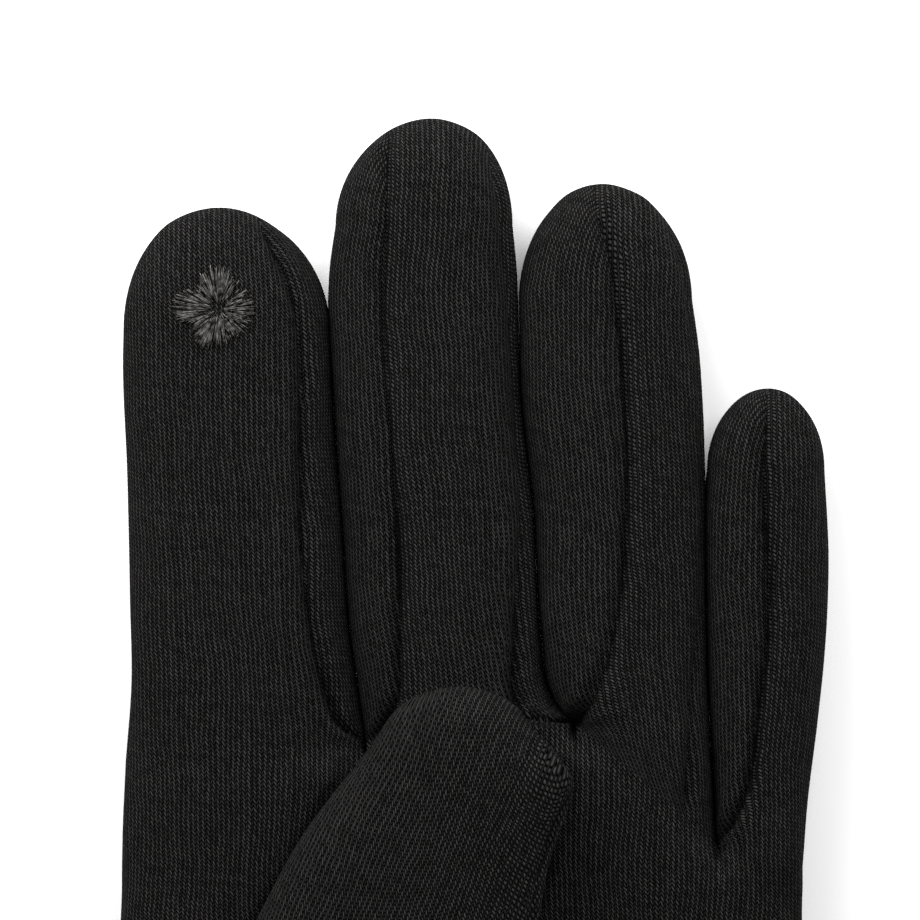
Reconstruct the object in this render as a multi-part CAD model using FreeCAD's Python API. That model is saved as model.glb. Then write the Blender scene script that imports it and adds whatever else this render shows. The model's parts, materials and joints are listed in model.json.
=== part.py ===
import FreeCAD, Part
import math
import os

# A left-hand lined jersey glove with a touchscreen fingertip, in millimetres.
# It lies on its back on a surface: +Z is up out of the palm, +Y points to the fingertips and
# +X to the little finger. The origin is under the middle of the glove, on the surface.
# Each finger folds at its root and at its middle; the thumb lies over the palm, swings out and bends.

Vector = FreeCAD.Vector

# Driving dimensions
glove_length = 240.0
palm_width = 101.0
hand_thickness = 18.0
hand_round = 8.5  # rounding along the sides of the hand
finger_thickness = 15.5
edge_round = 6.5  # rounding along the sides of the fingers and thumb
fabric = 1.0  # outer jersey
ply_gap = 0.1  # between the jersey and the lining
fleece = 1.0  # brushed lining
finger_tilt = 1.8  # degrees that all four fingers lean towards the thumb side
crease_depth = 3.0  # a fold line lies this far under the palm side of a finger
bend_gap = 0.2  # half the clearance at a fold line
root_bend = 75.0  # degrees of travel at a finger's root
middle_bend = 85.0  # degrees of travel at a finger's middle
far = 300.0  # longer than anything here, for cutting tools

# The glove's half outline: (y, width) of the flattened hand from the cuff's mouth to the fingers
hand_stations = [
    (-glove_length / 2, 92.0),
    (-100.0, 90.0),
    (-64.0, 78.0),
    (-40.0, 94.0),
    (-15.0, palm_width),
    (60.0, palm_width),
]
# Where the hand stops and the fingers go on alone, from the thumb side to the little finger's side
hand_end = [(-far, 31.0), (12.0, 31.0), (31.0, 16.0), (far, 16.0)]
finger_start = 8.0  # each finger's tube begins this far up, inside the hand

# Each finger: the fold line at its root (x, y), its width, and the distances from that fold line
# to the fold line in its middle and to its tip
fingers = {
    "index": {"x": -33.0, "y": 40.0, "width": 28.0, "middle": 26.0, "tip": 67.3},
    "middle": {"x": -6.0, "y": 42.0, "width": 25.0, "middle": 30.0, "tip": 78.0},
    "ring": {"x": 19.4, "y": 42.0, "width": 24.8, "middle": 26.0, "tip": 68.4},
    "little": {"x": 41.3, "y": 27.0, "width": 16.8, "middle": 22.0, "tip": 54.8},
}
# The crotches between the fingers: the two fingers, and how far up the fork's lower end is
forks = {
    "fork_index_middle": ("index", "middle", 24.0),
    "fork_middle_ring": ("middle", "ring", 24.0),
    "fork_ring_little": ("ring", "little", 9.0),
}

# The thumb lies over the palm; its base turns about a round hole in the palm
thumb = {
    "x": -27.0,
    "y": -30.0,
    "lean": -24.0,  # degrees from +Y, towards the little finger
    "base_radius": 20.0,
    "tip_radius": 14.3,
    "reach": 61.5,  # between the centres of its two round ends
    "thickness": 15.0,
    "clearance": 0.4,  # above the palm
    "hole_radius": 12.0,
    "bend_at": 42.0,
    "bend": 60.0,
}

# Touch pad: five embroidered petals near the index fingertip
pad = {"x": -0.9, "y": 53.0, "height": 0.5, "petals": 5, "petal_radius": 2.3, "petal_at": 3.5}

# Cuff
hem = 20.0  # folded hem at the mouth
elastic = {"y": -64.0, "width": 8.0, "thickness": 0.6}
label = {"y": -98.0, "width": 16.0, "length": 24.0, "thickness": 0.3}

lining_out = fabric + ply_gap
lining_in = lining_out + fleece


def box(x0, x1, y0, y1, z0, z1):
    return Part.makeBox(x1 - x0, y1 - y0, z1 - z0, Vector(x0, y0, z0))


def prism_up(points, z0=-far, z1=far):
    """An upright prism on a plan outline."""
    corners = [Vector(x, y, z0) for x, y in points]
    return Part.Face(Part.makePolygon(corners + corners[:1])).extrude(Vector(0, 0, z1 - z0))


def prism_across(points):
    """A prism along X on an outline of (y, z) points."""
    corners = [Vector(-far, y, z) for y, z in points]
    return Part.Face(Part.makePolygon(corners + corners[:1])).extrude(Vector(2 * far, 0, 0))


def round_edges(block, thickness, radius, keep_below):
    """Rounds the upper and lower edges of a flat block, but not those at or below keep_below in y."""
    chosen = [
        e
        for e in block.Edges
        if abs(e.BoundBox.ZLength) < 1e-6 and e.BoundBox.YMax > keep_below + 1e-6
    ]
    return block.makeFillet(radius, chosen)


# Hand


def hand_form(inset, past_mouth=0.0):
    """The hand without its fingers, drawn in by inset all round."""
    (mouth_y, mouth_width), (next_y, next_width) = hand_stations[:2]
    trim = next_y - mouth_y  # the slab is rounded this much longer than it is needed, then cut to length
    stations = [(mouth_y - trim, 2 * mouth_width - next_width)] + hand_stations[1:]
    right = [(width / 2 - inset, y) for y, width in stations]
    left = [(-x, y) for x, y in reversed(right)]
    thickness = hand_thickness - 2 * inset
    slab = prism_up(right + left, inset, inset + thickness)
    low_y, high_y = stations[0][0], stations[-1][0]
    along_sides = [
        e
        for e in slab.Edges
        if e.BoundBox.ZLength < 1e-6 and e.BoundBox.YMin < high_y - 1e-6 and e.BoundBox.YMax > low_y + 1e-6
    ]
    form = slab.makeFillet(hand_round - inset, along_sides)
    end = [(x, y - inset) for x, y in hand_end]
    start = mouth_y - past_mouth
    return form.common(prism_up([(-far, start)] + end + [(far, start)]))


# Fingers, each in its own frame: y along the finger from the fold line at its root


def finger_form(finger, inset):
    """A finger with flat faces, rounded sides and a half-round tip, drawn in by inset."""
    half = finger["width"] / 2 - inset
    start = finger_start - finger["y"]
    shoulder = finger["tip"] - finger["width"] / 2
    low = inset
    edges = [
        Part.LineSegment(Vector(-half, start, low), Vector(half, start, low)).toShape(),
        Part.LineSegment(Vector(half, start, low), Vector(half, shoulder, low)).toShape(),
        Part.Arc(
            Vector(half, shoulder, low), Vector(0, shoulder + half, low), Vector(-half, shoulder, low)
        ).toShape(),
        Part.LineSegment(Vector(-half, shoulder, low), Vector(-half, start, low)).toShape(),
    ]
    thickness = finger_thickness - 2 * inset
    block = Part.Face(Part.Wire(edges)).extrude(Vector(0, 0, thickness))
    return round_edges(block, thickness, edge_round - inset, start)


def before_fold(y, travel):
    """Everything on the hand's side of a fold line across a finger."""
    axis_z = finger_thickness - crease_depth
    slope = math.tan(math.radians(travel / 2))
    edge = y - bend_gap
    return prism_across(
        [(-far, -far), (edge, -far), (edge, axis_z), (edge - far * slope, axis_z + far), (-2 * far, far)]
    )


def after_fold(y, travel):
    """Everything on the tip's side of a fold line across a finger."""
    axis_z = finger_thickness - crease_depth
    slope = math.tan(math.radians(travel / 2))
    edge = y + bend_gap
    return prism_across(
        [(far, -far), (edge, -far), (edge, axis_z), (edge + far * slope, axis_z + far), (2 * far, far)]
    )


def put_finger(shape, finger):
    """Moves a shape from a finger's own frame to the glove's frame."""
    placed = shape.copy()
    placed.rotate(Vector(0, 0, 0), Vector(0, 0, 1), finger_tilt)
    placed.translate(Vector(finger["x"], finger["y"], 0))
    return placed


def finger_point(finger, x, y_in_glove):
    """A plan point beside a finger's centreline, at about that height in the glove."""
    turn = math.radians(finger_tilt)
    along = y_in_glove - finger["y"]
    return (finger["x"] + x - along * math.tan(turn), y_in_glove)


def finger_segments(name):
    """The separate fabric pieces of a finger's lower and upper segments, in the glove's frame."""
    finger = fingers[name]
    outer, inner = finger_form(finger, 0.0), finger_form(finger, fabric)
    lining = finger_form(finger, lining_out).cut(finger_form(finger, lining_in))
    shell = outer.cut(inner)
    flat = finger["width"] / 2 - edge_round
    seam_z = finger_thickness / 2
    # plan strips: the palm and back panels take the flats, the fourchettes the rounded sides;
    # on the glove's two outer edges the panels meet in a side seam at half height instead
    left = -far if name == "index" else -flat
    right = far if name == "little" else flat
    pieces = {
        "palm": box(left, right, -far, far, seam_z, far),
        "back": box(left, right, -far, far, -far, seam_z),
    }
    if name != "index":
        pieces["fourchette_thumb_side"] = box(-far, -flat, -far, far, -far, far)
    if name != "little":
        pieces["fourchette_outer_side"] = box(flat, far, -far, far, -far, far)
    lower = after_fold(0.0, root_bend).common(before_fold(finger["middle"], middle_bend))
    upper = after_fold(finger["middle"], middle_bend)
    made = {}
    for part_name, region in pieces.items():
        for level, zone in (("lower", lower), ("upper", upper)):
            piece = shell.common(region).common(zone)
            made[f"{name}_{part_name}_{level}"] = put_finger(piece, finger)
    for level, zone in (("lower", lower), ("upper", upper)):
        made[f"lining_{name}_{level}"] = put_finger(lining.common(zone), finger)
    return made


def touch_pad():
    """Five overlapping petals on the palm side of the index fingertip."""
    finger = fingers["index"]
    top = finger_thickness
    flower = Part.makeCylinder(pad["petal_at"], pad["height"], Vector(pad["x"], pad["y"], top))
    for i in range(pad["petals"]):
        turn = math.radians(90 + 360 / pad["petals"] * i)
        centre = Vector(
            pad["x"] + pad["petal_at"] * math.cos(turn), pad["y"] + pad["petal_at"] * math.sin(turn), top
        )
        flower = flower.fuse(Part.makeCylinder(pad["petal_radius"], pad["height"], centre))
    return put_finger(flower.removeSplitter(), finger)


def hand_with_roots(inset, open_ended):
    """The hand with the roots of its fingers. Open-ended, it runs on past the mouth and the folds."""
    whole = hand_form(inset, 10.0 if open_ended else 0.0)
    for finger in fingers.values():
        root = finger_form(finger, inset)
        if open_ended:
            root = root.common(box(-far, far, -far, 10.0, -far, far))
        else:
            root = root.common(before_fold(0.0, root_bend))
        whole = whole.fuse(put_finger(root, finger))
    return whole


def thumb_hole(radius):
    z = hand_thickness / 2
    return Part.makeCylinder(radius, hand_thickness, Vector(thumb["x"], thumb["y"], z))


def hand_pieces():
    """The pieces of the hand and cuff."""
    jersey = hand_with_roots(0.0, False).cut(hand_with_roots(fabric, True))
    jersey = jersey.cut(thumb_hole(thumb["hole_radius"]))
    made = {}
    for name, (a, b, low) in forks.items():
        first, second = fingers[a], fingers[b]
        flat_a = first["width"] / 2 - edge_round
        flat_b = second["width"] / 2 - edge_round
        region = prism_up(
            [
                finger_point(first, flat_a, low),
                finger_point(second, -flat_b, low),
                finger_point(second, -flat_b, 60.0),
                finger_point(first, flat_a, 60.0),
            ]
        )
        made[name] = jersey.common(region)
        jersey = jersey.cut(region)
    half = hand_thickness / 2
    made["palm_panel"] = jersey.common(box(-far, far, -far, far, half, far))
    made["back_panel"] = jersey.common(box(-far, far, -far, far, -far, half))

    mouth = -glove_length / 2
    room = hand_with_roots(lining_in, True)
    lining = hand_with_roots(lining_out, False).cut(room).cut(thumb_hole(thumb["hole_radius"]))
    made["cuff_hem"] = lining.common(box(-far, far, mouth, mouth + hem, -far, far))
    lining = lining.common(box(-far, far, mouth + hem + ply_gap, far, -far, far))
    low, high = elastic["y"] - elastic["width"] / 2, elastic["y"] + elastic["width"] / 2
    band = hand_form(lining_out).cut(hand_form(lining_out + elastic["thickness"]))
    made["wrist_elastic"] = band.common(box(-far, far, low, high, -far, far))
    channel = hand_form(fabric).cut(hand_form(lining_out + elastic["thickness"] + ply_gap))
    spare = ply_gap
    made["lining_hand"] = lining.cut(
        channel.common(box(-far, far, low - spare, high + spare, -far, far))
    )
    made["size_label"] = box(
        -label["width"] / 2,
        label["width"] / 2,
        label["y"],
        label["y"] + label["length"],
        lining_in + ply_gap,
        lining_in + ply_gap + label["thickness"],
    )
    return made


# Thumb, in its own frame: y along the thumb from the centre of its round base


def thumb_form(inset):
    """A tapered, flattened thumb with two round ends, drawn in by inset."""
    big, small = thumb["base_radius"] - inset, thumb["tip_radius"] - inset
    slope = math.asin((big - small) / thumb["reach"])
    across, up = math.cos(slope), math.sin(slope)
    z = hand_thickness + thumb["clearance"] + inset
    base = [Vector(side * big * across, big * up, z) for side in (-1, 1)]
    tip = [Vector(side * small * across, thumb["reach"] + small * up, z) for side in (-1, 1)]
    edges = [
        Part.Arc(base[0], Vector(0, -big, z), base[1]).toShape(),
        Part.LineSegment(base[1], tip[1]).toShape(),
        Part.Arc(tip[1], Vector(0, thumb["reach"] + small, z), tip[0]).toShape(),
        Part.LineSegment(tip[0], base[0]).toShape(),
    ]
    thickness = thumb["thickness"] - 2 * inset
    block = Part.Face(Part.Wire(edges)).extrude(Vector(0, 0, thickness))
    return round_edges(block, thickness, edge_round - inset, -far)


def thumb_axis_x():
    """How far the thumb's fold line is from its centreline, on the side that it bends to."""
    share = thumb["bend_at"] / thumb["reach"]
    half_width = thumb["base_radius"] + (thumb["tip_radius"] - thumb["base_radius"]) * share
    return half_width - crease_depth


def thumb_zones():
    """The parts of space before and after the thumb's upright fold line."""
    x, y = thumb_axis_x(), thumb["bend_at"]
    slope = math.tan(math.radians(thumb["bend"] / 2))
    near, past = y - bend_gap, y + bend_gap
    lower = prism_up([(-far, -far), (-far, near), (x, near), (x + far, near - far * slope), (far, -far)])
    upper = prism_up([(-far, far), (-far, past), (x, past), (x + far, past + far * slope), (far, 2 * far)])
    return {"lower": lower, "upper": upper}


def put_thumb(shape):
    placed = shape.copy()
    placed.rotate(Vector(0, 0, 0), Vector(0, 0, 1), thumb["lean"])
    placed.translate(Vector(thumb["x"], thumb["y"], 0))
    return placed


def thumb_pieces():
    """The outer and inner panels and the lining of the thumb's two segments."""
    mid_z = hand_thickness + thumb["clearance"] + thumb["thickness"] / 2
    floor_hole = Part.makeCylinder(
        thumb["hole_radius"], thumb["thickness"] / 2, Vector(0, 0, hand_thickness)
    )
    jersey = thumb_form(0.0).cut(thumb_form(fabric)).cut(floor_hole)
    lining = thumb_form(lining_out).cut(thumb_form(lining_in)).cut(floor_hole)
    upper_half = box(-far, far, -far, far, mid_z, far)
    lower_half = box(-far, far, -far, far, -far, mid_z)
    made = {}
    for level, zone in thumb_zones().items():
        made[f"thumb_outer_panel_{level}"] = put_thumb(jersey.common(upper_half).common(zone))
        made[f"thumb_inner_panel_{level}"] = put_thumb(jersey.common(lower_half).common(zone))
        made[f"lining_thumb_{level}"] = put_thumb(lining.common(zone))
    return made


def build():
    made = hand_pieces()
    for name in fingers:
        made.update(finger_segments(name))
    made["touch_pad"] = touch_pad()
    made.update(thumb_pieces())
    return made


os.makedirs("parts", exist_ok=True)
for node, shape in build().items():
    solids = shape.Solids
    whole = solids[0] if len(solids) == 1 else Part.makeCompound(solids)
    whole.exportStep(f"parts/{node}.step")
    print(node, len(solids), "solid(s)", round(shape.Volume), "mm3", "valid" if whole.isValid() else "BAD")
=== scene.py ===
import json
import math

import bpy
import numpy as np
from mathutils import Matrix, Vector


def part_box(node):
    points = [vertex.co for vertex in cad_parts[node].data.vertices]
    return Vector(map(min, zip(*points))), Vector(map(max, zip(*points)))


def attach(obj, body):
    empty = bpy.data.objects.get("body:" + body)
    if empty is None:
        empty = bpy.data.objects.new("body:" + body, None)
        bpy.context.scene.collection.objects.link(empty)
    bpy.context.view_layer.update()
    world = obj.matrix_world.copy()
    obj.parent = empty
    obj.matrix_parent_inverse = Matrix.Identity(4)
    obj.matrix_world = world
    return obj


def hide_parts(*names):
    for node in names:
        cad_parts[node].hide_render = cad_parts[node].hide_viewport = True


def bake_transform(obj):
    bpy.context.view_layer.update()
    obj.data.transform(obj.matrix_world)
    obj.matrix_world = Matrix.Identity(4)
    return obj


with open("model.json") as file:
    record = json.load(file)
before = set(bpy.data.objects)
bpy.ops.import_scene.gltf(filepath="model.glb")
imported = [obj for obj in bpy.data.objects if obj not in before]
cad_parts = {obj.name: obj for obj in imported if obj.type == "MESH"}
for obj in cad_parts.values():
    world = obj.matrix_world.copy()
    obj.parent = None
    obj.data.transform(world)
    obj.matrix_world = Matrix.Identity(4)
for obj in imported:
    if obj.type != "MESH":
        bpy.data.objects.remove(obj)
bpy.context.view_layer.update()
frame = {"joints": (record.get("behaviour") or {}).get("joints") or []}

mm = 0.001
joints = {joint["name"]: joint for joint in frame["joints"]}

# Everything below is laid out in millimetres, in the frame's own axes, and made metres as meshes are built.
# A sheet is a grid of rows, from the cuff to a fingertip, and of columns, from the thumb's side outwards.


def lineThrough(points):  # a smooth line through a few points, as a function of their first number
    at, value = (np.array(c, float) for c in zip(*sorted(points)))
    slope = np.gradient(value, at) if len(at) > 2 else np.full(2, (value[1] - value[0]) / (at[1] - at[0]))

    def line(t):
        t = np.clip(t, at[0], at[-1])
        k = np.clip(np.searchsorted(at, t) - 1, 0, len(at) - 2)
        h = at[k + 1] - at[k]
        s = (t - at[k]) / h
        return (
            value[k] * (1 + 2 * s) * (1 - s) ** 2
            + slope[k] * h * s * (1 - s) ** 2
            + value[k + 1] * s * s * (3 - 2 * s)
            + slope[k + 1] * h * s * s * (s - 1)
        )

    return line


def ease(t):
    t = np.clip(t, 0, 1)
    return t * t * (3 - 2 * t)


def bump(t, centre, width):
    return np.exp(-(((t - centre) / width) ** 2))


def waves(points, seed, shortest, longest, count=14):  # smooth, seeded unevenness, about 1 high
    rng = np.random.default_rng(seed)
    total = np.zeros(points.shape[:-1])
    for _ in range(count):
        length = rng.uniform(shortest, longest)
        way = rng.normal(size=3)
        way /= np.linalg.norm(way)
        total += np.sin(points @ way * (2 * math.pi / length) + rng.uniform(0, 2 * math.pi))
    return total / math.sqrt(count)


class Profile:  # the rounded outline of a section, from its flat middle (0) to its side (1)
    def __init__(self, flatness, roundness, aspect):
        self.flatness, self.roundness = flatness, roundness
        u = 1 - np.linspace(1, 0, 4001) ** 3
        length = np.concatenate([[0], np.cumsum(np.hypot(np.diff(u), np.diff(self.height(u)) * aspect))])
        self.u, self.share = u, length / length[-1]

    def height(self, u):
        return np.maximum(1 - np.minimum(np.abs(u), 1) ** self.flatness, 0) ** (1 / self.roundness)

    def across(self, a):  # the place across of an even step a along the outline, from -1 to 1
        return np.sign(a) * np.interp(np.abs(a), self.share, self.u)

    def step(self, u):
        return np.sign(u) * np.interp(np.abs(u), self.u, self.share)


glove = {
    "mouth": -119.3,
    "middleZ": 7.7,  # half the fingers' thickness
    "palmMiddleZ": 8.7,
    "palmHalf": 8.3,
    "palmRun": 60,  # the middle rises from the fingers' height to the palm's over this far
    "evenRun": 75,  # and the columns spread to even places over this far
    "rowStep": 0.8,
    "tipRows": 1.25,  # how much closer the rows lie in a finger's tip
    "palmRows": 150,
    "finer": 0.18,  # how much closer the palm's rows lie towards the fingers
    "rootRun": 6.0,  # where the palm's section turns into the fingers'
    "crotchDepth": 1.2,  # the hollow below a crotch, and how fast it fades and widens down the palm
    "crotchRun": 2.0,
    "crotchWidth": 1.2,
    "crotchSpread": 0.3,
    "waleRun": 16,  # the palm's wales run on into the fingers over this far
    "liftRun": 7.0,  # and the fingers' seams run down into the palm over this far
    "rest": 0.4,  # what would lie lower than this is pressed flat on the table
    "handRows": 4,  # the first rows of each finger still belong to the hand
}

# Outlines are (y, x). A seam is (y, share of the half width), on the palm side and on the back. A finger's
# cloth passes from its root's fold to its middle's at the share "pass" of its length.
fingers = {
    "index": {
        "columns": 50,
        "left": [(30, -48.8), (41, -48.0), (52, -48.2), (70, -48.6), (86, -49.2), (91, -49.1)],
        "right": [(32.8, -15.24), (39.8, -16.22), (46.8, -17.26), (66, -18.71), (80.4, -19.72), (91, -20.25)],
        "root": (30.5, 32.8),
        "shoulder": 90.3,
        "tip": 17.0,
        "lean": -1.2,
        "half": 7.7,
        "seams": [
            {"column": 40, "end": 0.42,
             "palm": [(32.8, 0.98), (34.5, 0.86), (38.5, 0.76), (44, 0.7), (52, 0.66), (62, 0.64), (72, 0.68),
                      (90, 0.72), (102, 0.62)],
             "back": [(32.8, 0.98), (45, 0.84), (90, 0.82), (102, 0.7)]},
        ],
        "pass": 0.36,
    },
    "middle": {
        "columns": 46,
        "left": [(32.8, -15.2), (39.8, -16.15), (46.8, -17.2), (66, -18.65), (80.4, -19.6), (99.3, -20.2),
                 (105, -19.4)],
        "right": [(35.3, 14.2), (37.2, 11.9), (39.8, 10.5), (46.8, 9.4), (66.4, 8.1), (80.4, 6.5), (100, 5.9),
                  (105, 5.4)],
        "root": (32.8, 35.3),
        "shoulder": 104.9,
        "tip": 15.0,
        "lean": 1.2,
        "half": 7.7,
        "seams": [
            {"column": 13, "end": -0.5,
             "palm": [(32.8, -0.97), (38, -0.66), (46, -0.52), (66, -0.43), (90, -0.43), (105, -0.43),
                      (117, -0.5)],
             "back": [(32.8, -0.97), (45, -0.84), (104, -0.82), (117, -0.6)]},
            {"column": 40, "fade": (46, 70, 0.3), "end": 0.72,
             "palm": [(35.3, 0.98), (35.7, 0.82), (36.4, 0.64), (38.5, 0.64), (42, 0.69), (46, 0.74),
                      (58, 0.84), (78, 0.93), (105, 0.86), (117, 0.8)],
             "back": [(35.3, 0.98), (45, 0.84), (104, 0.82), (117, 0.8)]},
        ],
        "pass": 0.31,
    },
    "ring": {
        "columns": 44,
        "left": [(35.3, 14.3), (37.2, 12.05), (39.8, 10.65), (46.8, 9.55), (66.4, 8.25), (80.4, 6.7),
                 (94.4, 6.3)],
        "right": [(18.8, 33.9), (30, 33.2), (52.4, 32.4), (80.4, 32.0), (87, 31.5), (94.4, 30.5)],
        "root": (35.3, 18.8),
        "shoulder": 94.4,
        "tip": 16.0,
        "lean": -0.3,
        "half": 7.7,
        "seams": [
            {"column": 21, "end": -0.12,
             "palm": [(35.3, -0.97), (37.5, -0.62), (40, -0.42), (43, -0.27), (48, -0.13), (54, -0.02),
                      (66, 0.07), (90, 0.11), (101, 0.04), (108, -0.1)],
             "back": [(35.3, -0.97), (45, -0.84), (92, -0.82), (106, -0.4)]},
            {"column": 39, "fade": (26, 42, 0.3), "end": 0.8,
             "palm": [(18.8, 0.98), (19.5, 0.8), (20.6, 0.64), (22.4, 0.58), (27, 0.63), (37, 0.74),
                      (46, 0.88), (60, 0.95), (92, 0.95), (106, 0.85)],
             "back": [(18.8, 0.98), (30, 0.84), (92, 0.82), (106, 0.8)]},
        ],
        "pass": 0.41,
    },
    "little": {
        "columns": 34,
        "left": [(18.8, 34.0), (30, 33.35), (52.4, 32.55), (65, 32.4), (71, 32.7)],
        "right": [(13, 45.9), (24.4, 46.8), (35.6, 48.2), (46.8, 49.3), (58, 49.7), (71, 49.1)],
        "root": (18.8, 15.0),
        "shoulder": 70.8,
        "tip": 11.0,
        "lean": 0.2,
        "half": 6.9,
        "seams": [
            {"column": 15, "end": -0.02,
             "palm": [(18.8, -0.97), (24, -0.5), (29, -0.27), (37, -0.17), (43, -0.07), (54, -0.02),
                      (71, -0.08), (80, -0.04)],
             "back": [(18.8, -0.97), (26, -0.84), (70, -0.8), (80, -0.3)]},
        ],
        "pass": 0.38,
    },
}
palmLeft = [(-121, -46), (-100, -45), (-82, -41.5), (-64, -38.4), (-50, -42), (-38, -46.5), (-15, -49.8),
            (13, -49.6), (30.5, -48.8)]
palmRight = [(-121, 46), (-100, 45), (-82, 41.5), (-64, 38.4), (-50, 40.5), (-38, 43), (-15, 46), (5, 45.8),
             (15, 46.0)]

fingerProfile = Profile(flatness=2.5, roundness=2.3, aspect=0.6)
palmProfile = Profile(flatness=6.0, roundness=2.3, aspect=0.17)


def columnSteps(finger, side, root, end, share):
    # The even step across of each column in each row, with one column on each seam
    values = [np.full(len(share), -1.0)]
    for seam in finger["seams"]:
        line, u = lineThrough(seam[side]), 0.0
        for _ in range(12):  # the rows slant, so a seam's y and its place across settle together
            y = (root[0] + (root[1] - root[0]) * (u + 1) / 2) * (1 - share) + end * share
            u = u + 0.6 * (line(y) - u)
        values.append(fingerProfile.step(u))
    values.append(np.full(len(share), 1.0))
    return stepsBetween(finger, np.array(values).T)


def seamStops(finger):  # the columns at a finger's edges and seams
    return [0] + [seam["column"] for seam in finger["seams"]] + [finger["columns"]]


def stepsBetween(finger, values):
    columns = np.arange(finger["columns"] + 1)
    return np.array([np.interp(columns, seamStops(finger), row) for row in values])


def fingerSheet(finger, side):
    # The palm side or the back of a finger: rows of points from its root to its tip
    up = 1 if side == "palm" else -1
    left, right = lineThrough(finger["left"]), lineThrough(finger["right"])
    rootLeft, rootRight = finger["root"]
    shoulder, tip = finger["shoulder"], finger["tip"]
    rowCount = int(round((shoulder - (rootLeft + rootRight) / 2) / glove["rowStep"]))
    middleZ = finger.get("middleZ", glove["middleZ"])
    share = np.linspace(0, 1, rowCount + 1)
    u = fingerProfile.across(columnSteps(finger, side, finger["root"], shoulder, share))
    y = rootLeft + (rootRight - rootLeft) * (u + 1) / 2
    y = y + (shoulder - y) * share[:, None]
    x0, x1 = left(y), right(y)
    x = x0 + (x1 - x0) * (u + 1) / 2
    z = middleZ + up * finger["half"] * fingerProfile.height(u)
    straight = np.stack([x, y, z], -1)
    return np.concatenate([straight, tipOf(finger, side, shoulder, tip)]), rowCount


def tipOf(finger, side, shoulder, tip):
    # A finger's rounded end: a square grid bent to a half disc, so that its columns run on from the finger's
    up = 1 if side == "palm" else -1
    left, right = lineThrough(finger["left"]), lineThrough(finger["right"])
    b = np.linspace(0, 1, int(round(glove["tipRows"] * abs(tip) / glove["rowStep"])) + 1)[1:]
    v = fingerProfile.across(b)
    steps = columnSteps(finger, side, (shoulder, shoulder), shoulder + tip, v)
    ends = np.array([[-1.0] + [seam["end"] for seam in finger["seams"]] + [1.0]])
    toEnd = ease(b)[:, None] ** 2  # the palm side and the back meet column by column along the tip's edge
    u = fingerProfile.across(steps * (1 - toEnd) + stepsBetween(finger, ends) * toEnd)
    v = v[:, None]
    discX = u * np.sqrt(1 - v * v / 2)
    discY = v * np.sqrt(1 - u * u / 2)
    reach = np.minimum(np.hypot(discX, discY), 1)
    middle, half = (left(shoulder) + right(shoulder)) / 2, (right(shoulder) - left(shoulder)) / 2
    middleZ = finger.get("middleZ", glove["middleZ"])
    z = middleZ + up * finger["half"] * fingerProfile.height(reach)
    z[-1] = z[:, 0] = z[:, -1] = middleZ
    return np.stack([middle + half * discX + finger["lean"] * discY**2, shoulder + tip * discY, z], -1)


def alongRow(points, origin):  # distance along each row from a column
    step = np.linalg.norm(np.diff(points, axis=1), axis=2)
    run = np.concatenate([np.zeros((len(points), 1)), np.cumsum(step, 1)], 1)
    return run - run[:, origin : origin + 1]


def alongColumn(points, start):  # distance up the cloth, whatever way a column leans
    step = np.linalg.norm(np.diff(points[..., 1:], axis=0), axis=2)
    return start + np.concatenate([np.zeros((1, points.shape[1])), np.cumsum(step, 0)], 0)


def acrossCloth(x, height, start):  # distance over the cloth at one height up the glove, from the place start
    step = np.hypot(np.diff(x, axis=1), np.diff(height, axis=1))
    run = np.concatenate([np.zeros((len(x), 1)), np.cumsum(step, 1)], 1)
    return run - np.array([[np.interp(*row)] for row in zip(np.broadcast_to(start, len(x)), x, run)])


def thin(grid, every=3):  # every third row and column, and always the last
    rows, columns = (np.unique(np.append(np.arange(0, n, every), n - 1)) for n in grid.shape[:2])
    return grid[rows][:, columns]


def gridFaces(index):
    return np.stack([index[:-1, :-1], index[:-1, 1:], index[1:, 1:], index[1:, :-1]], -1).reshape(-1, 4)


class Cloth:  # all the outer cloth as one welded net, with each face's piece and place in the knit
    def __init__(self, coarse=None):
        self.points, self.lift, self.faces, self.labels, self.knit = [], [], [], [], []
        self.count, self.coarse = 0, coarse

    def add(self, label, points, knit, lift, flip=False):
        if self.coarse:
            self.coarse.add(label, *(thin(grid) for grid in (points, knit, lift)), flip)
        rows, columns = points.shape[:2]
        index = self.count + np.arange(rows * columns).reshape(rows, columns)
        face = gridFaces(index)[:, ::-1] if flip else gridFaces(index)
        self.points.append(points.reshape(-1, 3))
        self.lift.append(lift.reshape(-1))
        self.knit.append(knit.reshape(-1, 2))
        self.faces.append(face)
        self.labels += [label] * len(face)
        self.count += rows * columns
        return index

    def weld(self):
        every = (self.points, self.knit, self.lift, self.faces)
        points, knit, lift, faces = (np.concatenate(values) for values in every)
        _, first, same = np.unique(np.round(points, 3), axis=0, return_index=True, return_inverse=True)
        self.same = same = same.reshape(-1)
        total, times = np.zeros(len(first)), np.zeros(len(first))
        np.add.at(total, same, lift)
        np.add.at(times, same, 1)
        self.at = points[first]
        self.raised = total / times
        self.quads = same[faces]
        self.corners = knit[faces]
        self.label = np.array(self.labels)

    def normals(self):
        a, b, c, d = (self.at[self.quads[:, i]] for i in range(4))
        across = np.cross(c - a, d - b)
        total = np.zeros_like(self.at)
        for i in range(4):
            np.add.at(total, self.quads[:, i], across)
        return total / np.maximum(np.linalg.norm(total, axis=1, keepdims=True), 1e-12)


fleece = Cloth()
cloth = Cloth(fleece)

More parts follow.
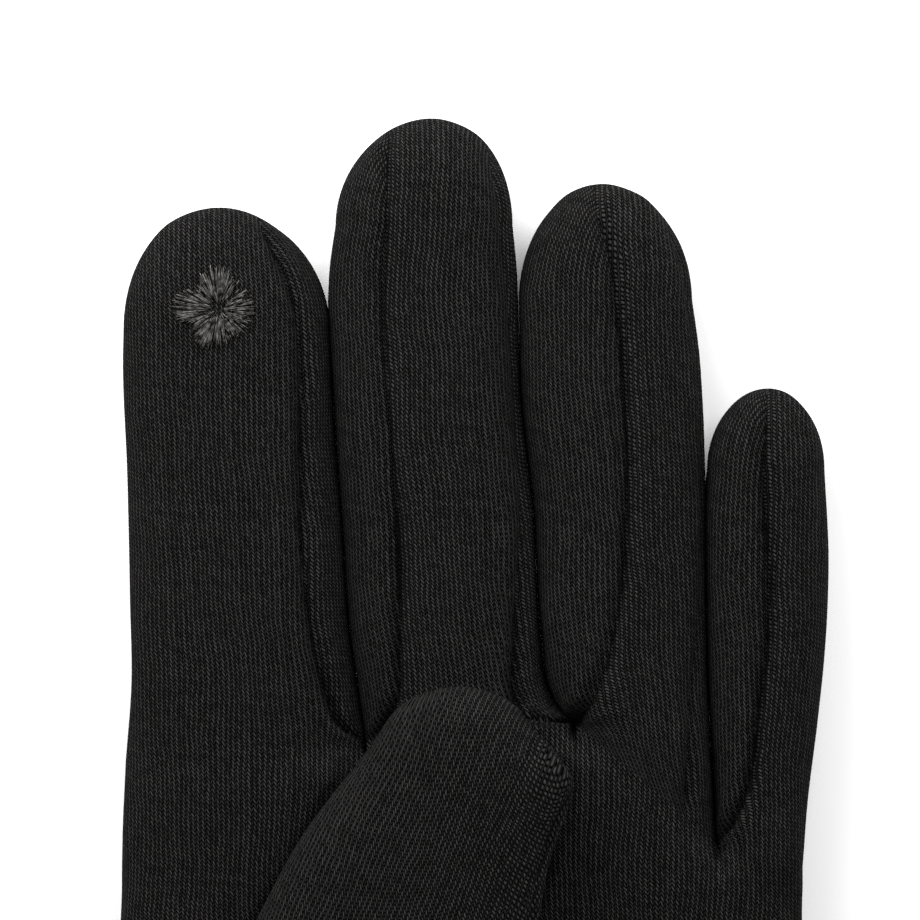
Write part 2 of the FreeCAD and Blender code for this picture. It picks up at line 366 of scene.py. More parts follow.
seamShape = {
    "depth": 1.2,
    "width": 0.8,
    "sharpness": 1.5,
    "lip": 0.28,  # the swelling beside a seam
    "lipAt": 2.2,
    "lipWidth": 1.1,
    "pucker": 0.07,
    "puckerLength": 2.4,
    "puckerWidth": 2.4,
    "startShare": 0.25,  # how deep a seam is at a finger's root, and how far it takes to be whole
    "startRun": 3.5,
    "overEdge": (1.0, 4),  # near a tip it fades, by height over the tip's edge (from, over)
    "belowTip": (6, 3),  # or by distance from the tip's end, whichever leaves more
}
softShape = {"wide": 0.22, "wideLengths": (16, 45), "fine": 0.06, "fineLengths": (5, 12), "edgeRun": 5}


def seamLift(distance, along, strength=1.0):
    shape = seamShape
    groove = -shape["depth"] * np.exp(-np.abs(distance / shape["width"]) ** shape["sharpness"])
    lip = shape["lip"] * bump(np.abs(distance), shape["lipAt"], shape["lipWidth"])
    ripple = np.sin(2 * math.pi * along / shape["puckerLength"])
    return strength * (groove + lip + shape["pucker"] * bump(distance, 0, shape["puckerWidth"]) * ripple)


def softness(points, seed):
    wide = softShape["wide"] * waves(points, seed, *softShape["wideLengths"])
    return wide + softShape["fine"] * waves(points, seed + 50, *softShape["fineLengths"])


def fromRange(value, limits):  # 0 up to the first limit, and 1 once the second further on
    return ease((value - limits[0]) / limits[1])


print("laying out the fingers")
rootRows = {"palm": [], "back": []}  # how far the cloth is lifted in each finger's first row
for number, finger in enumerate(fingers.values()):
    finger["sheets"] = {}
    for side in ("palm", "back"):
        points, shoulderRow = fingerSheet(finger, side)
        fromEdge = np.minimum(alongRow(points, 0), -alongRow(points, finger["columns"]))
        lift = softness(points, 10 * number) * ease(fromEdge / softShape["edgeRun"])
        belowTip = finger["shoulder"] + finger["tip"] - points[..., 1]
        overEdge = np.abs(points[..., 2] - points[:, :1, 2])
        toTip = fromRange(overEdge, seamShape["overEdge"])
        toTip = np.maximum(toTip, fromRange(belowTip, seamShape["belowTip"]))
        started = ease(alongColumn(points, 0.0) / seamShape["startRun"])
        for seam in finger["seams"]:
            start, end, least = seam.get("fade", (0, 1, 1.0))
            strength = toTip * (1 - (1 - least) * ease((points[..., 1] - start) / (end - start)))
            strength = strength * (seamShape["startShare"] + (1 - seamShape["startShare"]) * started)
            lift = lift + seamLift(alongRow(points, seam["column"]), points[..., 1], strength)
        finger["sheets"][side] = {"points": points, "lift": lift, "shoulderRow": shoulderRow}
        rootRows[side].append(lift[0])

print("laying out the palm and back")


def palmSheet(side):
    # Rows from the mouth of the cuff to the fingers' first rows
    up = 1 if side == "palm" else -1
    rootPoints, columnU, columnHalf = [], [], []
    for finger in fingers.values():
        points = finger["sheets"][side]["points"][0]
        steps = columnSteps(finger, side, finger["root"], 0.0, np.array([0.0]))[0]
        skip = 1 if rootPoints else 0  # two neighbouring fingers share the crotch's point
        rootPoints.append(points[skip:])
        columnU.append(fingerProfile.across(steps)[skip:])
        columnHalf.append(np.full(len(points) - skip, finger["half"]))
    crotchColumns = np.cumsum([finger["columns"] for finger in fingers.values()])[:-1]
    root, u, half = (np.concatenate(values) for values in (rootPoints, columnU, columnHalf))
    even = np.linspace(-1, 1, len(root))
    mouth = glove["mouth"]
    t = np.linspace(0, 1, glove["palmRows"] + 1)[:, None]
    t = t + glove["finer"] * t * (1 - t) * (t - 0.2)
    y = mouth + (root[:, 1] - mouth) * t
    x0, x1 = lineThrough(palmLeft)(y), lineThrough(palmRight)(y)
    below = root[:, 1] - y
    evenX = (x0 + x1) / 2 + (x1 - x0) / 2 * palmProfile.across(even)
    toEven = ease(below / glove["evenRun"])
    x = root[:, 0] * (1 - toEven) + evenX * toEven
    palmU = np.clip((x - (x0 + x1) / 2) / ((x1 - x0) / 2), -1, 1)
    palmU[:, 0], palmU[:, -1] = -1, 1
    x[:, 0], x[:, -1] = x0[:, 0], x1[:, -1]
    toFinger = ease(1 - below / glove["rootRun"]) ** 1.5
    lower = (glove["middleZ"] - glove["palmMiddleZ"]) * ease(1 - below / glove["palmRun"])
    middle = glove["palmMiddleZ"] + lower
    fullHeight = palmHeight = glove["palmHalf"] * palmProfile.height(palmU)
    for crotch in crotchColumns:
        near = bump(x - x[:, crotch : crotch + 1], 0, glove["crotchWidth"] + glove["crotchSpread"] * below)
        palmHeight = palmHeight - glove["crotchDepth"] * near * np.exp(-below / glove["crotchRun"])
    fingerHeight = half * fingerProfile.height(u)
    z = middle + up * (palmHeight * (1 - toFinger) + fingerHeight * toFinger)
    points = np.stack([x, y, z], -1)
    points[-1] = root
    plan = np.stack([acrossCloth(x, fullHeight, 0.0), y], -1)
    return {"points": points, "plan": plan}


palm = {side: palmSheet(side) for side in ("palm", "back")}

# The thumb has its own frame: y along it from the middle of its round root, which lies on the palm.
thumb = {
    "at": (-27.0, -30.0),
    "turn": -24.0,
    "columns": 52,
    "left": [(-1, -20.4), (15, -19.8), (33.5, -18.4), (48.5, -17.1), (54.7, -15.9), (60, -14.7), (65, -13.5)],
    "right": [(-1, 20.4), (15, 20.0), (33, 18.6), (49, 16.6), (57.7, 14.8), (62, 14.4), (65, 14.3)],
    "root": (0.0, 0.0),
    "shoulder": 64.0,
    "tip": 12.0,
    "lean": 0.0,
    "middleZ": 25.0,
    "half": 7.3,
    "rootHalf": 9.6,  # its underside goes down into the palm, from this y towards the root
    "deepFrom": 34,
    "deepRun": 26,
    "planFrom": -20.0,  # where its courses start
    "bend": 9,  # millimetres on either side of the fold line
    "passRow": 30,
    "seams": [],
    "seam": 2.2,  # its one seam runs up the palm side, this far from the edge, and fades below the tip
    "seamEnd": 68,
    "seamRun": 6,
    "corners": [  # the tip is fuller at one corner: x, width and rise of each swelling
        {"x": 14.3, "width": 1.6, "rise": 2.0},
        {"x": 7.0, "width": 4.0, "rise": -1.6},
    ],
    "cornerFrom": 58,
    "cornerRun": 8,
}
turn = math.radians(thumb["turn"])
hollow = {  # the thumb lies in a shallow hollow of the palm
    "length": 61.5,
    "root": 20.2,
    "tip": 14.2,
    "depth": 1.5,
    "run": 2.6,
    "edgeRun": 6,  # it fades near the palm's sides and near the fingers
    "fingerRun": 4,
}


def hollowAt(points):
    x, y = points[..., 0] - thumb["at"][0], points[..., 1] - thumb["at"][1]
    across = x * math.cos(turn) + y * math.sin(turn)
    along = y * math.cos(turn) - x * math.sin(turn)
    share = np.clip(along / hollow["length"], 0, 1)
    radius = hollow["root"] + (hollow["tip"] - hollow["root"]) * share
    outside = np.hypot(across, along - share * hollow["length"]) - radius
    fromEdge = np.minimum(alongRow(points, 0), -alongRow(points, points.shape[1] - 1))
    fromFingers = points[-1, :, 1] - points[..., 1]
    depth = hollow["depth"] * ease(1 - outside / hollow["run"])
    return depth * ease(fromEdge / hollow["edgeRun"]) * ease(fromFingers / hollow["fingerRun"])


def oneRow(pieces):  # neighbouring pieces of a row in one, each shared point once
    return np.concatenate([piece[(1 if k else 0) :] for k, piece in enumerate(pieces)])


# The elastic gathers the cloth in fine pleats around the wrist
gather = {"y": -64.0, "spread": 9.0, "depth": 0.75, "pleat": 5.2, "wander": 1.3, "wanderLengths": (14, 50)}

palm["palm"]["points"][..., 2] -= hollowAt(palm["palm"]["points"])
for side, seed in (("palm", 77), ("back", 99)):
    points = palm[side]["points"]
    y = points[..., 1]
    around = alongRow(points, points.shape[1] // 2)
    wobble = gather["wander"] * waves(points * np.array([1, 0.35, 1]), 5, *gather["wanderLengths"])
    pleats = np.sin(around * (2 * math.pi / gather["pleat"]) + wobble)
    lift = softness(points, seed) + gather["depth"] * pleats * bump(y, gather["y"], gather["spread"])
    carry = ease(1 - (points[-1, :, 1] - y) / glove["liftRun"]) ** 2
    palm[side]["lift"] = lift * (1 - carry) + oneRow(rootRows[side]) * carry


def addFinger(name, finger):
    # A finger's strips between its seams, each cut where the hand ends and where its root's fold passes on
    edges, first = seamStops(finger), finger["firstColumn"]
    for side in ("palm", "back"):
        points, lift = finger["sheets"][side]["points"], finger["sheets"][side]["lift"]
        rows = (0, glove["handRows"], finger["passRow"], len(points) - 1)
        middles = (points[:, 0, 0] + points[:, -1, 0]) / 2
        panelAcross = acrossCloth(points[..., 0], points[..., 2], middles)
        for a, b in zip(edges[:-1], edges[1:]):
            kind = side
            if a == 0 and name != "index":
                kind = "fourchette_thumb_side"
            elif b == edges[-1] and name != "little":
                kind = "fourchette_outer_side"
            strip = slice(a, b + 1)
            part = points[:, strip]
            along = alongColumn(part, 0.0)
            if kind == side:  # the palm's wales run on into the finger
                across = panelAcross[:, strip] + middles[0]
                atRoot = palm[side]["plan"][-1, first + a : first + b + 1, 0]
                across = across + (atRoot - across[0]) * ease(1 - along / glove["waleRun"])
            else:
                across = acrossCloth(part[..., 0], part[..., 2], part[:, -1 if b == edges[-1] else 0, 0])
            plan = np.stack([across, along + points[0, strip, 1]], -1)
            for level, low, high in zip(("hand", "lower", "upper"), rows, rows[1:]):
                cut = slice(low, high + 1)
                cloth.add(f"{name}|{kind}|{level}", part[cut], plan[cut], lift[cut, strip], side == "back")


firstColumn = 0
for name, finger in fingers.items():
    finger["passRow"] = int(finger["sheets"]["palm"]["shoulderRow"] * finger["pass"])
    finger["firstColumn"] = firstColumn
    firstColumn += finger["columns"]
    addFinger(name, finger)
palmGrids = {"palm": [], "back": []}
for side, grids in palmGrids.items():
    for finger in fingers.values():
        stops = [finger["firstColumn"] + stop for stop in seamStops(finger)]
        for a, b in zip(stops[:-1], stops[1:]):
            strip = [palm[side][key][:, a : b + 1] for key in ("points", "plan", "lift")]
            grids.append(cloth.add(side, *strip, side == "back"))

print("laying out the thumb")


def placeThumb(points):
    x, y, z = points[..., 0], points[..., 1], points[..., 2]
    ox, oy = thumb["at"]
    turnedX = ox + x * math.cos(turn) - y * math.sin(turn)
    turnedY = oy + x * math.sin(turn) + y * math.cos(turn)
    return np.stack([turnedX, turnedY, z], -1)


for side, way in (("palm", 1), ("back", -1)):
    straight, shoulderRow = fingerSheet(thumb, side)
    root = tipOf(thumb, side, 0.0, thumb["left"][0][1])[::-1]  # as round as the thumb is wide there
    points = np.concatenate([root, straight])
    if side == "back":
        deeper = ease((thumb["deepFrom"] - points[..., 1]) / thumb["deepRun"])
        grown = 1 + (thumb["rootHalf"] / thumb["half"] - 1) * deeper
        points[..., 2] = thumb["middleZ"] + (points[..., 2] - thumb["middleZ"]) * grown
    fromSeam = thumb["seam"] + alongRow(points, thumb["columns"]) * way
    fade = ease((thumb["seamEnd"] - points[..., 1]) / thumb["seamRun"])
    lift = softness(points, 31) + seamLift(fromSeam, points[..., 1]) * fade
    across = acrossCloth(points[..., 0], points[..., 2], 0.0)
    plan = np.stack([across, alongColumn(points, thumb["planFrom"])], -1)
    x, y = points[..., 0], points[..., 1]
    rise = sum(corner["rise"] * bump(x, corner["x"], corner["width"]) for corner in thumb["corners"])
    points[..., 1] += rise * ease((y - thumb["cornerFrom"]) / thumb["cornerRun"])
    points = placeThumb(points)
    passRow = len(root) + thumb["passRow"]
    for level, cut in (("lower", slice(0, passRow + 1)), ("upper", slice(passRow, None))):
        cloth.add(f"thumb|{side}|{level}", points[cut], plan[cut], lift[cut], side == "back")

for net in (cloth, fleece):
    net.weld()
    net.at = net.at + net.normals() * net.raised[:, None]
    z = net.at[:, 2]  # what would sink into the table lies flat on it
    net.at[:, 2] = np.where(z < glove["rest"], glove["rest"] * np.exp(z / glove["rest"] - 1), z)
    net.normal = net.normals()
print("net", len(cloth.at), "points,", len(cloth.quads), "faces")


def makeMesh(name, points, faces, knit=None, shade=None):
    mesh = bpy.data.meshes.new(name)
    mesh.vertices.add(len(points))
    mesh.vertices.foreach_set("co", (points * mm).astype(np.float32).ravel())
    mesh.loops.add(faces.size)
    mesh.loops.foreach_set("vertex_index", faces.astype(np.int32).ravel())
    mesh.polygons.add(len(faces))
    mesh.polygons.foreach_set("loop_start", np.arange(0, faces.size, faces.shape[1], dtype=np.int32))
    mesh.update(calc_edges=True)
    mesh.polygons.foreach_set("use_smooth", np.ones(len(faces), bool))
    if knit is not None:
        layer = mesh.uv_layers.new(name="knit")
        layer.data.foreach_set("uv", knit.astype(np.float32).ravel())
    mesh.validate()
    if shade is not None:
        mesh.normals_split_custom_set_from_vertices(shade.astype(np.float32))
    thing = bpy.data.objects.new(name, mesh)
    bpy.context.scene.collection.objects.link(thing)
    return thing


depths = {"jersey": (0.0, 0.8), "fleece": (1.0, 2.0), "elastic": (0.85, 0.98)}  # each layer's, below the net
rimCourse = 0.6  # the knit runs on this far over a cut edge
tableGap = 0.02


def thickPiece(name, net, chosen, outer, inner):
    # The chosen faces of a net as a closed piece of cloth, between two depths under the net
    quads, knit = net.quads[chosen], net.corners[chosen]
    used, local = np.unique(quads, return_inverse=True)
    quads, count = local.reshape(quads.shape), len(used)
    at, way = net.at[used], net.normal[used]
    edges = np.stack([quads, np.roll(quads, -1, 1)], -1).reshape(-1, 2)
    _, first, times = np.unique(np.sort(edges, 1), axis=0, return_index=True, return_counts=True)
    rimAt = first[times == 1]
    rim = edges[rimAt]
    rimFaces = np.stack([rim[:, 1], rim[:, 0], rim[:, 0] + count, rim[:, 1] + count], -1)
    edgeKnit = knit.reshape(-1, 2)[rimAt]
    nextKnit = np.roll(knit, -1, 1).reshape(-1, 2)[rimAt]
    over = (0, -rimCourse)
    rimKnit = np.stack([nextKnit, edgeKnit, edgeKnit + over, nextKnit + over], 1)
    points = np.concatenate([at - way * outer, at - way * inner])
    points[:, 2] = np.maximum(points[:, 2], tableGap)
    faces = np.concatenate([quads, quads[:, ::-1] + count, rimFaces])
    plans = np.concatenate([knit, knit[:, ::-1], rimKnit])
    piece = makeMesh(name, points, faces, plans, np.concatenate([way, -way]))
    # each point's lift, which the jersey also reads for its painted shade in seams and pleats
    raised = piece.data.attributes.new("raised", "FLOAT", "POINT")
    raised.data.foreach_set("value", np.tile(net.raised[used], 2).astype(np.float32))
    return piece


class Tree:  # a node tree with short ways to add and join nodes
    def __init__(self, tree):
        self.tree = tree

    def node(self, kind, **inputs):
        made = self.tree.nodes.new(kind)
        for key, value in inputs.items():
            if key[0].islower() and hasattr(made, key):
                setattr(made, key, value)
            else:
                self.join(value, made.inputs[key.replace("_", " ")])
        return made

    def join(self, value, socket):
        if isinstance(value, bpy.types.NodeSocket):
            self.tree.links.new(value, socket)
        else:
            socket.default_value = value

    def math(self, operation, *values):
        made = self.tree.nodes.new("ShaderNodeMath")
        made.operation = operation
        for value, socket in zip(values, made.inputs):
            self.join(value, socket)
        return made.outputs[0]

    def vector(self, operation, first, second):
        made = self.tree.nodes.new("ShaderNodeVectorMath")
        made.operation = operation
        self.join(first, made.inputs[0])
        self.join(second, made.inputs["Scale" if operation == "SCALE" else 1])
        return made.outputs[0]

    def mix(self, share, a, b):
        made = self.tree.nodes.new("ShaderNodeMix")
        made.data_type = "RGBA"
        for value, socket in zip((share, a, b), (made.inputs[0], made.inputs[6], made.inputs[7])):
            self.join(value, socket)
        return made.outputs[2]


def shaderGroup(name, inputs, outputs):
    group = bpy.data.node_groups.new(name, "ShaderNodeTree")
    for label, kind, value in inputs:
        socket = group.interface.new_socket(label, in_out="INPUT", socket_type=kind)
        if value is not None:
            socket.default_value = value
    for label, kind in outputs:
        group.interface.new_socket(label, in_out="OUTPUT", socket_type=kind)
    tree = Tree(group)
    return group, tree, tree.node("NodeGroupInput").outputs, tree.node("NodeGroupOutput").inputs


def makeKnitGroup():
    group, t, given, out = shaderGroup(
        "jerseyKnit",
        [
            ("Plan", "NodeSocketVector", None),
            ("Wale", "NodeSocketFloat", 0.7),
            ("Course", "NodeSocketFloat", 0.58),
            ("Lean", "NodeSocketFloat", 0.66),
            ("Slant", "NodeSocketFloat", 1.0),
            ("Yarn", "NodeSocketFloat", 0.82),
            ("Drift", "NodeSocketFloat", 2.2),
            ("Uneven", "NodeSocketFloat", 0.65),
            ("Second leg", "NodeSocketFloat", 0.5),
            ("Skew", "NodeSocketFloat", 0.25),
        ],
        [("Shade", "NodeSocketFloat"), ("Height", "NodeSocketFloat")],
    )
    plan = given["Plan"]
    # the yarn wanders a little, at two scales
    drift = t.node("ShaderNodeTexNoise", Vector=plan, Scale=0.05, Detail=1.0)
    wander = t.node("ShaderNodeTexNoise", Vector=plan, Scale=0.35, Detail=3.0, Roughness=0.6)
    wide = t.vector("SCALE", t.vector("SUBTRACT", drift.outputs["Color"], (0.5, 0.5, 0.5)), given["Drift"])
    near = t.vector("SCALE", t.vector("SUBTRACT", wander.outputs["Color"], (0.5, 0.5, 0.5)), given["Uneven"])
    moved = t.vector("ADD", t.vector("ADD", plan, wide), near)
    parts = t.node("ShaderNodeSeparateXYZ", Vector=moved)
    wale = t.math("DIVIDE", parts.outputs["X"], given["Wale"])
    skewed = t.math("MULTIPLY_ADD", parts.outputs["X"], given["Skew"], parts.outputs["Y"])
    course = t.math("DIVIDE", skewed, given["Course"])
    inWale = t.math("FRACT", wale)
    # the place along a leg of the stitch: 0 in its middle, 1 at the sides of its wale
    secondLeg = t.math("GREATER_THAN", inWale, given["Lean"])
    fromMiddle = t.math("ABSOLUTE", t.math("SUBTRACT", inWale, given["Lean"]))
    reach = t.math("ABSOLUTE", t.math("SUBTRACT", given["Lean"], t.math("SUBTRACT", 1.0, secondLeg)))
    reach = t.math("SUBTRACT", 1.0, reach)
    along = t.math("DIVIDE", fromMiddle, reach)
    up = t.math("SUBTRACT", course, t.math("MULTIPLY", along, given["Slant"]))
    across = t.math("ABSOLUTE", t.math("SUBTRACT", t.math("MULTIPLY", t.math("FRACT", up), 2.0), 1.0))
    inYarn = t.math("SUBTRACT", 1.0, t.math("POWER", t.math("DIVIDE", across, given["Yarn"]), 2.0))
    body = t.math("SQRT", t.math("MAXIMUM", inYarn, 0.0))
    leg = t.math("ABSOLUTE", t.math("SUBTRACT", t.math("MULTIPLY", along, 2.0), 1.0))
    taper = t.math("SUBTRACT", 1.0, t.math("MULTIPLY", t.math("POWER", leg, 3.0), 0.7))
    height = t.math("MULTIPLY", body, taper)
    # every leg, row and column of stitches has its own shade, and so do the fibres
    cell = t.node("ShaderNodeCombineXYZ", X=t.math("FLOOR", wale), Y=t.math("FLOOR", up), Z=secondLeg)
    chance = t.node("ShaderNodeTexWhiteNoise", Vector=cell.outputs[0])
    each = t.math("MULTIPLY_ADD", chance.outputs["Value"], 0.8, 0.6)
    row = t.node("ShaderNodeTexNoise", noise_dimensions="1D", W=parts.outputs["Y"], Scale=1.1, Detail=1.0)
    column = t.node("ShaderNodeTexNoise", noise_dimensions="1D", W=parts.outputs["X"], Scale=0.9, Detail=1.0)
    rowShade = t.math("MULTIPLY_ADD", row.outputs[0], 0.4, 0.5)
    bars = t.math("ADD", rowShade, t.math("MULTIPLY", column.outputs[0], 0.6))
    hair = t.node("ShaderNodeTexNoise", Vector=moved, Scale=7.0, Detail=2.0)
    fibre = t.math("MULTIPLY_ADD", hair.outputs[0], 1.1, 0.42)
    darker = t.math("SUBTRACT", 1.0, given["Second leg"])
    legShade = t.math("SUBTRACT", 1.0, t.math("MULTIPLY", secondLeg, darker))
    # darker where the yarn is low, in the holes between the legs of each stitch: partly the dark lining seen
    # through them, partly painted shade in them
    shade = t.math("POWER", height, 2.5)
    for share in (each, bars, fibre):
        shade = t.math("MULTIPLY", shade, share)
    t.join(t.math("MULTIPLY", shade, legShade), out["Shade"])
    t.join(t.math("MULTIPLY", height, t.math("MULTIPLY_ADD", hair.outputs[0], 0.4, 0.8)), out["Height"])
    return group


def makeMaterial(name, look, shareAndHeight):
    # A material that goes from dark to light by a share, with a relief by a height
    made = bpy.data.materials.new(name)
    made.use_nodes = True
    t, shader = Tree(made.node_tree), made.node_tree.nodes["Principled BSDF"].inputs
    share, height = shareAndHeight(t)
    t.join(t.mix(share, (*look["dark"], 1), (*look["light"], 1)), shader["Base Color"])
    relief = t.node("ShaderNodeBump", Height=height, Distance=look["relief"], Strength=look["strength"])
    t.join(relief.outputs[0], shader["Normal"])
    shader["Roughness"].default_value = look["roughness"]
    shader["Specular IOR Level"].default_value = look["specular"]
    if "sheen" in look:
        shader["Sheen Weight"].default_value, shader["Sheen Roughness"].default_value = look["sheen"]
    return made


knitGroup = makeKnitGroup()
jersey = {
    "dark": (0.0003, 0.0003, 0.0003),
    "light": (0.0315, 0.0302, 0.0298),
    "relief": 0.00018,
    "strength": 0.9,
    "roughness": 0.9,
    "specular": 0.006,
    "sheen": (0.003, 0.4),
    "groove": (0.7, 1.2, 0.35),  # painted shade in seams, pleats and other dips: darker by depth, from this, and never less than this
}


def knitted(t):
    plan = t.node("ShaderNodeUVMap", uv_map="knit")
    knit = t.node("ShaderNodeGroup", node_tree=knitGroup, Plan=plan.outputs[0])
    raised = t.node("ShaderNodeAttribute", attribute_name="raised")
    # painted shade: the knit is darker where the cloth dips below the net, in the seams' grooves and the
    # wrist's pleats
    paintedShadeByDepth, start, least = jersey["groove"]
    groove = t.math("MULTIPLY_ADD", raised.outputs["Fac"], paintedShadeByDepth, start)
    groove = t.math("MINIMUM", t.math("MAXIMUM", groove, least), 1.0)
    return t.math("MULTIPLY", knit.outputs["Shade"], groove), knit.outputs["Height"]


fleeceLook = {
    "dark": (0.006, 0.0058, 0.006),
    "light": (0.05, 0.048, 0.05),
    "relief": 0.0006,
    "strength": 0.8,
    "roughness": 0.95,
    "specular": 0.05,
    "sheen": (0.25, 0.6),
}


def brushed(t):
    plan = t.node("ShaderNodeUVMap", uv_map="knit")
    tufts = t.node("ShaderNodeTexVoronoi", Vector=plan.outputs[0], Scale=0.9, Randomness=1.0)
    pile = t.node("ShaderNodeTexNoise", Vector=plan.outputs[0], Scale=3.5, Detail=4.0, Roughness=0.7)
    tips = t.math("MULTIPLY", pile.outputs[0], 0.9)
    # its colour follows the pile's height: painted shade where the pile is low, between the tufts
    height = t.math("SUBTRACT", tips, t.math("MULTIPLY", tufts.outputs[0], 0.5))
    return height, height


thread = {"relief": 0.00005, "strength": 0.6, "roughness": 0.5, "specular": 0.1}
padLook = {"dark": (0.0012, 0.0012, 0.0012), "light": (0.13, 0.127, 0.12), **thread}
hemLook = {"dark": (0.003, 0.003, 0.003), "light": (0.03, 0.029, 0.029), **thread}


def spun(t):
    place = t.node("ShaderNodeTexCoord").outputs["Object"]
    strand = t.node("ShaderNodeAttribute", attribute_name="strand")
    fuzz = t.node("ShaderNodeTexNoise", Vector=place, Scale=1500.0, Detail=3.0)
    share = t.math("MULTIPLY", strand.outputs["Fac"], t.math("MULTIPLY_ADD", fuzz.outputs[0], 3.6, -1.2))
    return share, fuzz.outputs[0]


elasticLook = {
    "dark": (0.004, 0.004, 0.004),
    "light": (0.03, 0.03, 0.03),
    "relief": 0.0002,
    "strength": 0.8,
    "roughness": 0.7,
    "specular": 0.2,
}


def corded(t):
    plan = t.node("ShaderNodeUVMap", uv_map="knit")
    cords = t.node("ShaderNodeTexWave", Vector=plan.outputs[0], Scale=0.5, bands_direction="Y")
    weave = t.node("ShaderNodeTexWave", Vector=plan.outputs[0], Scale=0.8, bands_direction="X")
    # its colour follows the cords' height: painted shade in the grooves between them
    height = t.math("ADD", cords.outputs["Fac"], t.math("MULTIPLY", weave.outputs["Fac"], 0.4))
    return height, height


tapeLook = {
    "dark": (0.5, 0.49, 0.46),
    "light": (0.82, 0.81, 0.78),
    "relief": 0.00006,
    "strength": 0.8,
    "roughness": 0.35,
    "specular": 0.4,
}


def woven(t):
    place = t.node("ShaderNodeTexCoord").outputs["Object"]
    warp = t.node("ShaderNodeTexWave", Vector=place, Scale=900.0, bands_direction="X")
    weft = t.node("ShaderNodeTexWave", Vector=place, Scale=1400.0, bands_direction="Y")
    # its colour follows the weave's height: painted shade where the threads lie low, between them
    height = t.math("MULTIPLY", warp.outputs["Fac"], weft.outputs["Fac"])
    return height, height


jerseyCloth = makeMaterial("jersey", jersey, knitted)
fleeceCloth = makeMaterial("fleece", fleeceLook, brushed)
padThread = makeMaterial("pad_thread", padLook, spun)
hemThread = makeMaterial("hem_thread", hemLook, spun)
elasticCords = makeMaterial("elastic", elasticLook, corded)
labelTape = makeMaterial("label_tape", tapeLook, woven)

print("cutting the cloth into its pieces")


def beside(joint, before, after):
    # Two points on the palm side of a fold line, one towards the hand and one towards the tip
    at, axis = joint["pos_m"], joint["axis"]
    along = np.array([-axis[1], axis[0], 0]) * mm
    return tuple(at + along * -before), tuple(at + along * after)


foldRuns = {  # millimetres before and after each fold line
    "index_root_bend": (3, 9), "index_middle_bend": (8, 8),
    "middle_root_bend": (3, 9), "middle_middle_bend": (8, 8),
    "ring_root_bend": (3, 7.5), "ring_middle_bend": (8, 8),
    "little_root_bend": (3, 8), "little_middle_bend": (8, 8),
}
kinds = ("palm", "back", "fourchette_thumb_side", "fourchette_outer_side")


def jerseyPiece(node, labels, cut=None):
    # The faces with these labels as a piece of jersey that stands for a CAD node
    chosen = np.isin(cloth.label, labels)
    if cut is not None:
        chosen &= cut
    piece = thickPiece(f"{node}_cloth", cloth, chosen, *depths["jersey"])
    piece.data.materials.append(jerseyCloth)
    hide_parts(node)
    return piece


def fleecePiece(node, chosen):
    piece = thickPiece(f"{node}_fleece", fleece, chosen, *depths["fleece"])
    piece.data.materials.append(fleeceCloth)
    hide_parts(node)
    return piece


for name in fingers:
    for level, joint in (("lower", joints[f"{name}_root_bend"]), ("upper", joints[f"{name}_middle_bend"])):
        labels = [f"{name}|{kind}|{level}" for kind in kinds]
        pieces = [
            jerseyPiece(f"{name}_{kind}_{level}", label)
            for kind, label in zip(kinds, labels)
            if label in cloth.label
        ]
        pieces.append(fleecePiece(f"lining_{name}_{level}", np.isin(fleece.label, labels)))
        start, end = beside(joint, *foldRuns[joint["name"]])
        for piece in pieces:
            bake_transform(piece)

handPieces = {
    "palm_panel": ["palm"] + [f"{name}|palm|hand" for name in fingers],
    "back_panel": ["back"] + [f"{name}|back|hand" for name in fingers],
    "fork_index_middle": ["index|fourchette_outer_side|hand", "middle|fourchette_thumb_side|hand"],
    "fork_middle_ring": ["middle|fourchette_outer_side|hand", "ring|fourchette_thumb_side|hand"],
    "fork_ring_little": ["ring|fourchette_outer_side|hand", "little|fourchette_thumb_side|hand"],
}
rootGap = 11.0  # the hole in the palm that the thumb goes through


def farFromThumb(net):
    middle = net.at[net.quads].mean(1)
    return np.hypot(middle[:, 0] - thumb["at"][0], middle[:, 1] - thumb["at"][1]) > rootGap


outsideHole = {net: farFromThumb(net) for net in (cloth, fleece)}
for node, labels in handPieces.items():
    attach(jerseyPiece(node, labels, outsideHole[cloth] if node == "palm_panel" else None), "hand")

hem = {
    "width": 20.0,
    "depth": 1.9,
    "thick": 0.9,
    "roundness": 0.55,
    "wave": 0.12,
    "waveLength": 2.3,
    "overlap": 2,  # the lining goes this far under the hem's edge
    "lastStep": 0.7,  # from the ring's last point back to its first
}
centreY = fleece.at[fleece.quads].mean(1)[:, 1]
inPalm = fleece.label == "palm"
inHand = inPalm | (fleece.label == "back") | np.char.endswith(fleece.label, "|hand")
aboveHem = centreY > glove["mouth"] + hem["width"] - hem["overlap"]
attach(fleecePiece("lining_hand", inHand & aboveHem & (outsideHole[fleece] | ~inPalm)), "hand")

elastic = {"y": -64.0, "width": 8.0}
centreY = cloth.at[cloth.quads].mean(1)[:, 1]
chosen = np.isin(cloth.label, ["palm", "back"]) & (np.abs(centreY - elastic["y"]) < elastic["width"] / 2)
piece = thickPiece("wrist_elastic_band", cloth, chosen, *depths["elastic"])
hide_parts("wrist_elastic")
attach(piece, "hand")
piece.data.materials.append(elasticCords)

